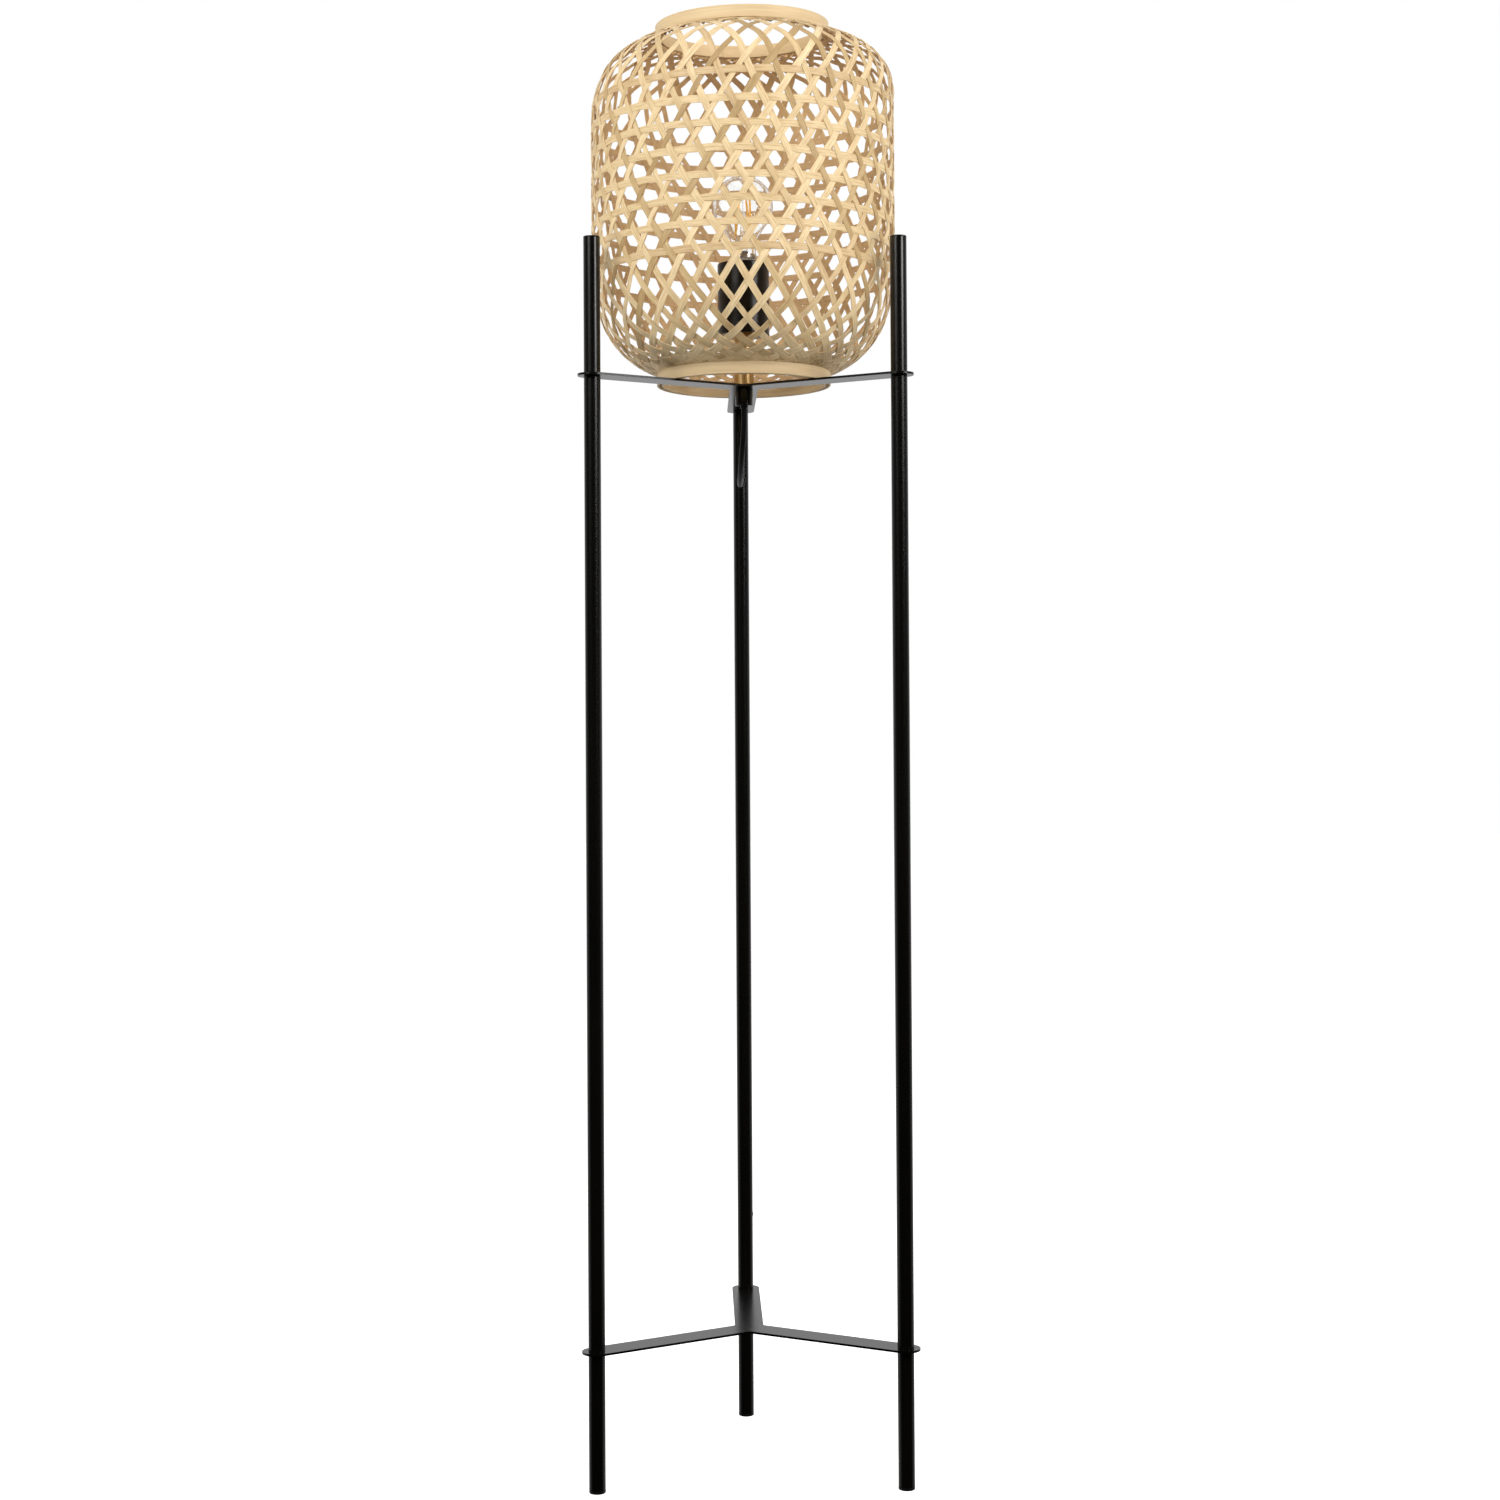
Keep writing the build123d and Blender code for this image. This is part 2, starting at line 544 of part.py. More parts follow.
    plug_x = sight_x(PLUG_Y)
    body_bottom = PIN_CLEARANCE + PIN_LENGTH
    body_top = body_bottom + PLUG_BODY[2]
    relief_top = body_top + PLUG_RELIEF
    bend = (PLUG_Y - away_y) / 2
    corner = bend * math.tan(math.radians(22.5))
    spring = run_top + 20  # where the lead starts to bend over
    start_x = hank_x + column
    cord_tube(
        "cord_to_plug",
        [
            (start_x, away_y, run_top),
            (start_x, away_y, spring + corner),
            (start_x - 0.2, away_y + bend - corner, spring + bend),
            (plug_x + 0.4, away_y + bend + corner, spring + bend),
            (plug_x, PLUG_Y, spring + corner),
            (plug_x, PLUG_Y + 0.4, spring - 20),
            (plug_x, PLUG_Y, relief_top - 4),
        ],
    )
    make_switch(hang_x, switch_bottom, switch_top)
    make_plug(plug_x, body_bottom, body_top, relief_top)


def make_switch(x, bottom, top):
    """An inline switch in two halves, with a rocker that faces +X."""
    thick, wide, tall = SWITCH_SIZE
    centre = (x, HANG_Y, SWITCH_Z)
    shell = Box(thick, wide, tall)
    shell = fillet(shell.edges().filter_by(Axis.X), 8.0)
    shell = fillet(shell.edges().group_by(Axis.X)[0] + shell.edges().group_by(Axis.X)[-1], 1.5)
    cavity = Box(thick - 2 * SWITCH_WALL, wide - 2 * SWITCH_WALL, tall - 2 * SWITCH_WALL)
    shell -= cavity
    shell -= Cylinder(cord_r + 0.1, tall + 10)
    window = Pos(thick / 2, 0, 0) * Box(2 * SWITCH_WALL + 1, ROCKER_SIZE[0] + 1.0, ROCKER_SIZE[1] + 2.0)
    screw_places = [(6.8, 21.0), (-6.8, -21.0)]
    posts = []
    screws = []
    for y, z in screw_places:
        posts.append(Pos(0, y, z) * Rot(0, 90, 0) * Cylinder(2.6, thick - 2 * SWITCH_WALL))
        shank = Pos(-thick / 2 + 4.5, y, z) * Rot(0, 90, 0) * Cylinder(1.2, 8.0)
        head = Pos(-thick / 2 + 0.55, y, z) * Rot(0, 90, 0) * Cylinder(2.0, 0.9)
        screws.append(shank + head)
    whole = shell + posts - window
    for screw in screws:
        whole -= screw
    front_half = whole & (Pos(thick / 4 + 5, 0, 0) * Box(thick / 2 + 10, wide + 5, tall + 5))
    back_half = whole & (Pos(-thick / 4 - 5, 0, 0) * Box(thick / 2 + 10, wide + 5, tall + 5))
    add("switch_front", Pos(*centre) * front_half)
    add("switch_back", Pos(*centre) * back_half)
    add("switch_screws", [Pos(*centre) * screw for screw in screws])

    # a shallow roof shape, which rests tipped to its off side
    half = ROCKER_SIZE[1] / 2
    pivot = thick / 2 - 2.2
    section = Polyline(
        (pivot - 1.8, 0, -half + 3.5),
        (pivot + 1.2, 0, -half),
        (pivot + 3.6, 0, -half),
        (pivot + 2.9, 0, 0),
        (pivot + 3.6, 0, half),
        (pivot + 1.2, 0, half),
        (pivot - 1.8, 0, half - 3.5),
        close=True,
    )
    rocker = extrude(make_face(section), ROCKER_SIZE[0] / 2, both=True)
    rocker = Pos(pivot, 0, 0) * Rot(0, ROCKER_TILT, 0) * Pos(-pivot, 0, 0) * rocker
    add("switch_rocker", Pos(*centre) * rocker)


def make_plug(x, body_bottom, body_top, relief_top):
    """A flat two-pin mains plug, pins down."""
    thick, wide, tall = PLUG_BODY
    face = Pos(x, PLUG_Y, body_bottom) * Rectangle(thick, wide)
    waist = Pos(x, PLUG_Y, body_bottom + tall * 0.55) * Rectangle(thick - 1.4, wide - 7)
    neck = Pos(x, PLUG_Y, body_top) * Rectangle(thick - 3.2, 14)
    sections = [fillet(s.vertices(), 3.0) for s in (face, waist, neck)]
    body = loft(sections)
    holes = []
    pins = []
    for side in (-1, 1):
        y = PLUG_Y + side * PIN_SPACING / 2
        root_top = body_bottom + PIN_ROOT_LENGTH
        pin = rod(PIN_D / 2, PIN_CLEARANCE, body_bottom - PIN_SHOULDER, x, y)
        pin = fillet(pin.edges().group_by(Axis.Z)[0], PIN_TIP_R)
        pins.append(pin + rod(PIN_ROOT_D / 2, body_bottom - PIN_SHOULDER, root_top, x, y))
        holes.append(rod(PIN_ROOT_D / 2, body_bottom - 1, root_top, x, y))
    for hole in holes:
        body -= hole
    add("plug_pins", pins)
    relief = cone_rod(4.6, 3.5, (x, PLUG_Y, body_top), (x, PLUG_Y, relief_top))
    relief -= rod(cord_r + 0.2, relief_top - 4.05, relief_top + 1, x, PLUG_Y)
    add("plug_body", body)
    add("plug_relief", relief)


make_stand()
make_lampholder()
make_bulb()
make_shade()
make_cord()
os.makedirs("parts", exist_ok=True)
for name, shape in parts.items():
    export_step(shape, f"parts/{name}.step")
print(len(parts), "sub-parts")
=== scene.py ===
# The looks of a tripod floor lamp: black steel posts and plates, and a lantern woven from bamboo
# strips in three directions around a bare bulb. Metres, +Z up, in the CAD model's frame.
import json
import math
import random

import bpy
import numpy as np
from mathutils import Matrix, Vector


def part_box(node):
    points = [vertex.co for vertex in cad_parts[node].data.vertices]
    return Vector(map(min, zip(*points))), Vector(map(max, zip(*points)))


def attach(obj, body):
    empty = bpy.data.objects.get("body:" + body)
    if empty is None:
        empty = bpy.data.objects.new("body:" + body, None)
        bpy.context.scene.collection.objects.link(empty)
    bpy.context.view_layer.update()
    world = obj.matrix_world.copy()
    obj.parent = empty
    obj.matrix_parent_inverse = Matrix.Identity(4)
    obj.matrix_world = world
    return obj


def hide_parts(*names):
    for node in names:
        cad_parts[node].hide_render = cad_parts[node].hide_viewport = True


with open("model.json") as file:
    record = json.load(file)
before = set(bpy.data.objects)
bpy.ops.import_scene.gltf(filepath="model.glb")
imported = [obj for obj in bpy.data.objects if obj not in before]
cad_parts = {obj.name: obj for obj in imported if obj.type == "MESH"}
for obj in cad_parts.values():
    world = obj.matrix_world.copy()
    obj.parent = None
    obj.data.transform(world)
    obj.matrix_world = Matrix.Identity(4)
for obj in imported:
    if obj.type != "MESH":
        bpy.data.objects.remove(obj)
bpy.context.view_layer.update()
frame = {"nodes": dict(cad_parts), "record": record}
nodes = frame["nodes"]
random.seed(11)


# ---- sizes read from the frame
bottom_hoop_low, bottom_hoop_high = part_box("bottom_outer_hoop")
top_hoop_low, top_hoop_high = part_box("top_outer_hoop")
inner_hoop_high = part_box("bottom_inner_hoop")[1]
SHADE_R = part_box("shade_weave")[1].x
HOOP_R = bottom_hoop_high.x
HOOP_H = bottom_hoop_high.z - bottom_hoop_low.z
SHADE_BOTTOM = bottom_hoop_low.z
SHADE_TOP = (top_hoop_low.z + top_hoop_high.z) / 2 + HOOP_H / 2
INNER_HOOP_R = inner_hoop_high.x

# ---- sizes of the weave
HOOP_T = 0.0022
HOOP_CORNER = 0.0005
HOOP_WAVE = 0.000025  # how far a hoop is out of round
HOOP_SEAM = 0.00015  # half the gap between a hoop's ends
HOOP_POINTS = 241
FIRST_SEAM = 62  # degrees round, where the first hoop's ends meet
NEXT_SEAM = 41  # degrees further for each next hoop
SEAT_R = (HOOP_R - HOOP_T + INNER_HOOP_R) / 2  # middle of the gap between the two hoops
STRIP_COUNT = 34  # in each slanting direction
STEP = 2 * math.pi / STRIP_COUNT
STRIP_WIDTH = 0.0061
LEVEL_WIDTH = 0.0068
FOOT_SPREAD = 0.45  # the strips crowd and overlap towards the bottom hoop, as if this much wider
FOOT_SPREAD_TOP = 1.113  # the height at which the crowding begins
STRIP_T = 0.0007
STRIP_CORNER = 0.00018
WEAVE_HALF = 0.00044  # how far a strip's middle swings out or in where it crosses another
STRIP_END_COVER = 0.0048  # a strip stops this far inside a hoop's edge
NECK_DROP = 0.001  # the wall turns upright this far outside the hoops
BELLY_BOTTOM = 1.2466  # the wall is upright between these heights
BELLY_TOP = 1.2830
TOP_CURVE = (5.58, 1.30)  # exponents of the shoulder's curve
BOTTOM_CURVE = (4.61, 1.342)
FIRST_ROW_Z = 1.257  # a row of crossings from which the turns are counted
FIRST_ROW_PHASE = 0.57  # of one step, where that row has a crossing, counted from straight in front
SLANT_R = 0.0756  # radius x sine of a strip's angle to the upright, at the first row
SLANT_CHANGE = -0.030  # per metre of height: the strips stand steeper towards the mouth
MOUTH_TWIST = 0.5  # steps by which the weave is turned at the mouth
LEVEL_TURNS = (1.75, 1.25, 0.75, 0.25, -0.25, -0.75, -1.25, -1.75)  # turns at the level strips
LATTICE_ROW = 4  # from this row on, up and down, only the slanting strips go on
LOWEST_ROW = -16  # rows of crossings below and above the first one
HIGHEST_ROW = 13
LEVEL_START = 70  # degrees round, where the first level strip's end lies
LEVEL_START_SHIFT = 37  # degrees further for each of the next two, and then again from the first
LAP_STEPS = 2.2  # how far the ends of a level strip lie over each other
SPARE_CROSSINGS = 6  # more than once round, for that lap
LAP_DROP = 0.9 * STRIP_T  # how far the lapped end lies inside
LAP_EASING = 0.5 * STEP  # how far round that drop takes
SWING_FROM = 0.28  # the share of the way to the next crossing at which a strip begins to swing
SWING_SHARE = 0.44  # and how much of the way it takes
SLANT_STRAY = 0.06  # of one step, how far a slanting strip may lie from its place
SLANT_WOBBLE = 0.05  # of one step, how far it may wander to and fro
SLANT_WAVES = 1.7  # radians of that wandering per turn
SLANT_WIDTHS = (0.86, 1.12)  # times STRIP_WIDTH
LEVEL_STRAY = 0.03  # of a turn, how far up or down a level strip may lie from its place
LEVEL_WOBBLES = ((1, 0.025), (3, 0.020))  # waves round the lantern, and their size in turns
LEVEL_WIDTHS = (0.92, 1.08)  # times LEVEL_WIDTH
TURNS_PER_POINT = 0.055  # between points along a slanting strip
LEVEL_POINTS = 330  # along a level strip
WALL_POINTS = 900  # in each half of the wall's line, closer together towards the hoops
RIM_POINTS = 40  # of that line between each pair of hoops
RIM_LEAN = (0.0169, 0.0456)  # rise of the mouth's plane along +X and +Y
LEAN_FROM = 1.360  # the height at which that lean begins
SHOULDER_SHIFT = 0.0040  # the shoulder leans to +X by this much
SHOULDER_FROM = 1.335  # the shift begins here
SHOULDER_RISE = 0.040  # and is whole this much higher
SHOULDER_UNTIL = 1.395  # and fades out from here to the mouth

# ---- sizes of the lead, as in the CAD source
CORD_R = 0.00275
CORD_TO_LEG = [
    (0, 0, 1.0464),
    (0, 0, 1.0244),
    (-0.0022, 0.0140, 0.9994),
    (-0.0032, 0.0440, 0.9804),
    (-0.0030, 0.0800, 0.9754),
    (-0.0018, 0.1120, 0.9814),
    (0, 0.1400, 0.9900),
    (0, 0.1645, 0.9900),
]
REAR_Y = 0.170  # the rear leg's axis
SIGHT_SLOPE = 0.0206  # x per y along the camera's line of sight through the rear leg
HANG_Y = 0.2090  # the lead hangs here to the switch and the hank
PLUG_Y = 0.2895
HANK_COLUMN = 0.0058  # between the two columns of turns
HANK_LOW = 0.02515  # centre of the bottom folds
HANK_HIGH = 0.11015  # and of the top folds
OUTER_FOLD = 0.0220  # radius of the outer turns' folds
INNER_FOLD = 0.0165  # and of the inner turns' folds
HANK_Y = HANG_Y + OUTER_FOLD
AWAY_Y = HANK_Y + OUTER_FOLD  # the lead leaves the hank here
BEND = (PLUG_Y - AWAY_Y) / 2  # radius of the bend over to the plug
BEND_CORNER = BEND * math.tan(math.radians(22.5))
SPRING = HANK_HIGH + 0.020  # the height at which that bend starts


def sight_x(y):
    """Sideways place of what hangs behind the rear leg, so that the leg covers it."""
    return SIGHT_SLOPE * (y - REAR_Y)


HANG_X = sight_x(HANG_Y)
HANK_X = sight_x(HANK_Y)
PLUG_X = sight_x(PLUG_Y)
AWAY_X = HANK_X + HANK_COLUMN / 2
LEAD_TO_HANK = [
    (0, 0.178354, 0.295646),
    (0, 0.1965, 0.2775),
    (HANG_X - 0.0001, HANG_Y - 0.0030, 0.2600),
    (HANG_X, HANG_Y, 0.2430),
    (HANG_X, HANG_Y, 0.2240),
    (HANG_X, HANG_Y, 0.1680),
]
LEAD_TO_PLUG = [
    (AWAY_X, AWAY_Y, SPRING + BEND_CORNER),
    (AWAY_X - 0.0002, AWAY_Y + BEND - BEND_CORNER, SPRING + BEND),
    (PLUG_X + 0.0004, AWAY_Y + BEND + BEND_CORNER, SPRING + BEND),
    (PLUG_X, PLUG_Y, SPRING + BEND_CORNER),
    (PLUG_X, PLUG_Y + 0.0004, SPRING - 0.020),
    (PLUG_X, PLUG_Y, 0.0780),
]
TIE_HEIGHT = 0.014
TIE_T = 0.0011
TIE_CORNER = 0.0035
TIE_CORNER_STEPS = 6
TIE_EDGE = 0.0003
TIE_LIFT = 0.0009  # how far the strap's lapped end stands off
TIE_LIFT_POINTS = 3  # before the lap, over which it rises
TIE_LAP = (-0.008, 0.0, 0.009)  # along the first side again


# ---- small tools
def smooth(share):
    """0 to 1 with a soft start and end."""
    share = np.clip(share, 0.0, 1.0)
    return share * share * (3 - 2 * share)


def link(obj):
    bpy.context.scene.collection.objects.link(obj)
    return obj


class Nodes:
    """Short ways to add and join shader nodes in one material."""

    def __init__(self, name):
        self.material = bpy.data.materials.new(name)
        self.material.use_nodes = True
        self.tree = self.material.node_tree
        self.shader = self.tree.nodes["Principled BSDF"]

    def add(self, kind, **settings):
        node = self.tree.nodes.new(kind)
        for key, value in settings.items():
            setattr(node, key, value)
        return node

    def join(self, start, end):
        self.tree.links.new(start, end)

    def put(self, socket, value):
        self.shader.inputs[socket].default_value = value

    def maths(self, operation, first, second=None, third=None, clamp=False):
        node = self.add("ShaderNodeMath", operation=operation, use_clamp=clamp)
        for place, value in enumerate((first, second, third)):
            if value is None:
                continue
            if isinstance(value, (int, float)):
                node.inputs[place].default_value = value
            else:
                self.join(value, node.inputs[place])
        return node.outputs[0]

    def noise(self, vector, scale, detail=2.0, roughness=0.5):
        node = self.add("ShaderNodeTexNoise")
        node.inputs["Scale"].default_value = scale
        node.inputs["Detail"].default_value = detail
        node.inputs["Roughness"].default_value = roughness
        self.join(vector, node.inputs["Vector"])
        return node.outputs["Fac"]

    def ramp(self, factor, stops):
        node = self.add("ShaderNodeValToRGB")
        elements = node.color_ramp.elements
        while len(elements) < len(stops):
            elements.new(0.5)
        for element, (place, colour) in zip(elements, stops):
            element.position = place
            element.color = (*colour, 1)
        self.join(factor, node.inputs["Fac"])
        return node.outputs["Color"]

    def mix(self, factor, first, second, blend="MIX"):
        node = self.add("ShaderNodeMix", data_type="RGBA", blend_type=blend)
        for socket, value in (("Factor", factor), ("A", first), ("B", second)):
            wanted = [s for s in node.inputs if s.name == socket and s.type in ("RGBA", "VALUE")]
            place = wanted[0] if socket == "Factor" else wanted[-1]
            if isinstance(value, (int, float)):
                place.default_value = value
            elif isinstance(value, tuple):
                place.default_value = (*value, 1)
            else:
                self.join(value, place)
        return [s for s in node.outputs if s.type == "RGBA"][0]

    def range(self, factor, low, high):
        node = self.add("ShaderNodeMapRange")
        self.join(factor, node.inputs["Value"])
        node.inputs["To Min"].default_value = low
        node.inputs["To Max"].default_value = high
        return node.outputs["Result"]

    def bump(self, height, distance, strength):
        node = self.add("ShaderNodeBump")
        node.inputs["Distance"].default_value = distance
        node.inputs["Strength"].default_value = strength
        self.join(height, node.inputs["Height"])
        self.join(node.outputs["Normal"], self.shader.inputs["Normal"])

    def place(self):
        return self.add("ShaderNodeTexCoord").outputs["Object"]


# ---- materials
def bamboo(name, tones, inner_face_and_shade_colour, fibres_across, streak_length, streak_depth, bump_depth):
    """Split bamboo: fine fibres along the strip, a tone of its own for each strip, and a darker
    inner face."""
    n = Nodes(name)
    along = n.add("ShaderNodeUVMap", uv_map="strip").outputs["UV"]
    parts = n.add("ShaderNodeSeparateXYZ")
    n.join(along, parts.inputs[0])
    tone = n.add("ShaderNodeAttribute", attribute_name="tone").outputs["Fac"]
    side = n.add("ShaderNodeAttribute", attribute_name="side").outputs["Fac"]
    shift = n.maths("MULTIPLY", tone, 57.0)

    def grain(length, across, detail):
        where = n.add("ShaderNodeCombineXYZ")
        n.join(n.maths("MULTIPLY_ADD", parts.outputs["X"], 1 / length, shift), where.inputs["X"])
        n.join(n.maths("MULTIPLY", parts.outputs["Y"], across), where.inputs["Y"])
        n.join(shift, where.inputs["Z"])
        return n.noise(where.outputs[0], 1.0, detail, 0.6)

    fibre = grain(streak_length, fibres_across, 3.0)
    blotch = grain(streak_length * 2.2, 1.3, 2.0)
    base = n.ramp(tone, tones)
    streaks = ((0.30, (0.58, 0.47, 0.33)), (0.45, (0.86, 0.81, 0.74)), (0.62, (1.0, 1.0, 1.0)))
    shade = n.ramp(fibre, streaks)
    coloured = n.mix(streak_depth, base, shade, "MULTIPLY")
    stained = n.mix(n.range(blotch, 0.0, 0.42), coloured, (0.55, 0.36, 0.15), "MULTIPLY")
    # the inner face's colour: partly the bamboo's own browner inner side, partly painted shade for the
    # lantern's shadowed inside
    inner_face_shaded = n.mix(0.55, inner_face_and_shade_colour, shade, "MULTIPLY")
    facing = n.maths("MULTIPLY_ADD", side, 0.5, 0.5, clamp=True)
    colour = n.mix(facing, inner_face_shaded, stained)
    n.join(colour, n.shader.inputs["Base Color"])
    n.join(n.range(fibre, 0.62, 0.42), n.shader.inputs["Roughness"])
    n.put("Specular IOR Level", 0.35)
    n.bump(fibre, bump_depth, 0.55)
    return n.material


def coated_metal(name, colour, rough, peel_scale, peel_depth, shine=0.5):
    """Powder coat with the fine orange-peel texture of the real finish."""
    n = Nodes(name)
    peel = n.noise(n.place(), peel_scale, 2.0)
    cloud = n.noise(n.place(), 9.0, 2.0)
    low = tuple(c * 0.85 for c in colour)
    high = tuple(c * 1.2 for c in colour)
    n.join(n.ramp(cloud, ((0.35, low), (0.65, high))), n.shader.inputs["Base Color"])
    n.join(n.range(peel, rough - 0.05, rough + 0.07), n.shader.inputs["Roughness"])
    n.put("Specular IOR Level", shine)
    n.bump(peel, peel_depth, 0.35)
    return n.material


def bare_metal(name, colour, rough, scratches=900.0):
    """Plain metal with fine lines drawn out along its length."""
    n = Nodes(name)
    stretched = n.add("ShaderNodeMapping")
    stretched.inputs["Scale"].default_value = (1.0, 1.0, 0.08)
    n.join(n.place(), stretched.inputs["Vector"])
    lines = n.noise(stretched.outputs[0], scratches, 3.0)
    darker = tuple(c * 0.8 for c in colour)
    n.join(n.ramp(lines, ((0.35, darker), (0.65, colour))), n.shader.inputs["Base Color"])
    n.join(n.range(lines, rough - 0.08, rough + 0.12), n.shader.inputs["Roughness"])
    n.put("Metallic", 1.0)
    n.bump(lines, 0.00003, 0.3)
    return n.material


def glass(name, tint):
    n = Nodes(name)
    n.put("Base Color", (*tint, 1))
    n.put("Roughness", 0.0)
    n.put("IOR", 1.40)
    n.put("Transmission Weight", 1.0)
    return n.material


def filament_coat(name):
    """The amber phosphor that covers an unlit filament stick."""
    n = Nodes(name)
    grain = n.noise(n.place(), 2600.0, 3.0)
    stops = ((0.3, (0.80, 0.36, 0.03)), (0.7, (0.98, 0.56, 0.09)))
    n.join(n.ramp(grain, stops), n.shader.inputs["Base Color"])
    n.put("Roughness", 0.55)
    n.bump(grain, 0.00008, 0.6)
    return n.material


def sheath(name):
    """Black PVC with the slight waviness of an extruded jacket."""
    n = Nodes(name)
    wave = n.noise(n.place(), 120.0, 2.0)
    stops = ((0.3, (0.003, 0.003, 0.003)), (0.7, (0.006, 0.006, 0.006)))
    n.join(n.ramp(wave, stops), n.shader.inputs["Base Color"])
    n.join(n.range(wave, 0.38, 0.52), n.shader.inputs["Roughness"])
    n.put("Specular IOR Level", 0.12)
    n.bump(wave, 0.0002, 0.3)
    return n.material


def webbing(name):
    """A woven hook-and-loop strap."""
    n = Nodes(name)
    threads = n.add("ShaderNodeTexWave", wave_type="BANDS", bands_direction="DIAGONAL")
    threads.inputs["Scale"].default_value = 420.0
    threads.inputs["Distortion"].default_value = 1.5
    n.join(n.place(), threads.inputs["Vector"])
    stops = ((0.2, (0.010, 0.010, 0.010)), (0.8, (0.045, 0.045, 0.047)))
    n.join(n.ramp(threads.outputs["Fac"], stops), n.shader.inputs["Base Color"])
    n.put("Roughness", 0.85)
    n.put("Sheen Weight", 0.4)
    n.bump(threads.outputs["Fac"], 0.0003, 0.7)
    return n.material


# each strip or hoop has a tone between 0 and 1, and takes its colour from these
STRIP_TONES = (
    (0.00, (0.49, 0.35, 0.17)),
    (0.30, (0.75, 0.60, 0.35)),
    (0.70, (0.92, 0.77, 0.50)),
    (1.00, (0.64, 0.48, 0.27)),
)
HOOP_TONES = (
    (0.0, (0.68, 0.54, 0.33)),
    (0.5, (0.73, 0.59, 0.37)),
    (1.0, (0.77, 0.63, 0.41)),
)
materials = {
    "black_coat": coated_metal(
        "black_coat", (0.0018, 0.0016, 0.0013), rough=0.23, peel_scale=1500.0, peel_depth=0.000025,
    ),
    "black_plastic": coated_metal(
        "black_plastic", (0.0035, 0.0034, 0.0033), rough=0.40, peel_scale=2600.0, peel_depth=0.000025,
        shine=0.35,
    ),
    "zinc_steel": bare_metal("zinc_steel", (0.62, 0.62, 0.60), rough=0.34),
    "white_ceramic": coated_metal(
        "white_ceramic", (0.72, 0.71, 0.66), rough=0.25, peel_scale=500.0, peel_depth=0.00003,
    ),
    "brass": bare_metal("brass", (0.80, 0.58, 0.28), rough=0.30),
    "nickel": bare_metal("nickel", (0.70, 0.68, 0.64), rough=0.22),
    "clear_glass": glass("clear_glass", (0.985, 0.99, 0.985)),
    "black_glass": coated_metal(
        "black_glass", (0.015, 0.013, 0.012), rough=0.12, peel_scale=300.0, peel_depth=0.00002,
    ),
    "filament_coat": filament_coat("filament_coat"),
    # the inner face colours below: partly the bamboo's own inner side, partly painted shade
    "bamboo_strip": bamboo(
        "bamboo_strip", STRIP_TONES, inner_face_and_shade_colour=(0.73, 0.51, 0.27), fibres_across=9.0,
        streak_length=0.018, streak_depth=0.85, bump_depth=0.00018,
    ),
    "bamboo_hoop": bamboo(
        "bamboo_hoop", HOOP_TONES, inner_face_and_shade_colour=(0.74, 0.55, 0.31), fibres_across=26.0,
        streak_length=0.060, streak_depth=0.42, bump_depth=0.00008,
    ),
    "cord_sheath": sheath("cord_sheath"),
    "tie_fabric": webbing("tie_fabric"),
}


def paint_cad_nodes():
    """Each CAD piece takes the material of its slot in the record."""
    for part in frame["record"]["subparts"]:
        for slot in nodes[part["node"]].material_slots:
            slot.material = materials[part["material_slot"]]


# ---- flat strips swept along a line
def rounded_section(width, thickness, corner, steps):
    """Outline of a flat strip's cross-section as (across, outward) pairs, anticlockwise."""
    points = []
    for quarter, (right, up) in enumerate(((1, 1), (-1, 1), (-1, -1), (1, -1))):
        centre = (right * (width / 2 - corner), up * (thickness / 2 - corner))
        for step in range(steps + 1):
            angle = math.radians(90 * (quarter + step / steps))
            points.append((centre[0] + corner * math.cos(angle), centre[1] + corner * math.sin(angle)))
    return points


def strip_mesh(name, strips):
    """One mesh of many strips. Each is (centres, outward normals, section, tone), and may have a
    fifth list that widens it at each centre."""
    vertices, faces, maps, tones, sides = [], [], [], [], []
    for centres, outward, section, tone, *widening in strips:
        spread = widening[0] if widening else np.ones(len(centres))
        forward = np.gradient(centres, axis=0)
        across = np.cross(outward, forward)
        across /= np.linalg.norm(across, axis=1)[:, None]
        runs = np.linalg.norm(np.diff(centres, axis=0), axis=1)
        along = np.concatenate([[0.0], np.cumsum(runs)])
        base = len(vertices)
        ring = len(section)
        width = 2 * max(a for a, _ in section)
        for centre, out, side, length, wider in zip(centres, outward, across, along, spread):
            for a, b in section:
                vertices.append(centre + side * a * wider + out * b)
                maps.append((length, a / width + 0.5))
                tones.append(tone)
                sides.append(1.0 if b > 0 else -1.0)
        for row in range(len(centres) - 1):
            for k in range(ring):
                a = base + row * ring + k
                b = base + row * ring + (k + 1) % ring
                faces.append((a, b, b + ring, a + ring))
        faces.append(tuple(range(base + ring - 1, base - 1, -1)))
        last = base + (len(centres) - 1) * ring
        faces.append(tuple(range(last, last + ring)))
    mesh = bpy.data.meshes.new(name)
    mesh.from_pydata([tuple(v) for v in vertices], [], faces)
    layer = mesh.uv_layers.new(name="strip")
    corners = np.zeros(len(mesh.loops), np.int32)
    mesh.loops.foreach_get("vertex_index", corners)
    layer.data.foreach_set("uv", np.array(maps, np.float32)[corners].ravel())
    for kind, values in (("tone", tones), ("side", sides)):
        attribute = mesh.attributes.new(kind, "FLOAT", "POINT")
        attribute.data.foreach_set("value", np.array(values, np.float32))
    mesh.shade_smooth()
    mesh.set_sharp_from_angle(angle=math.radians(28))
    return link(bpy.data.objects.new(name, mesh))


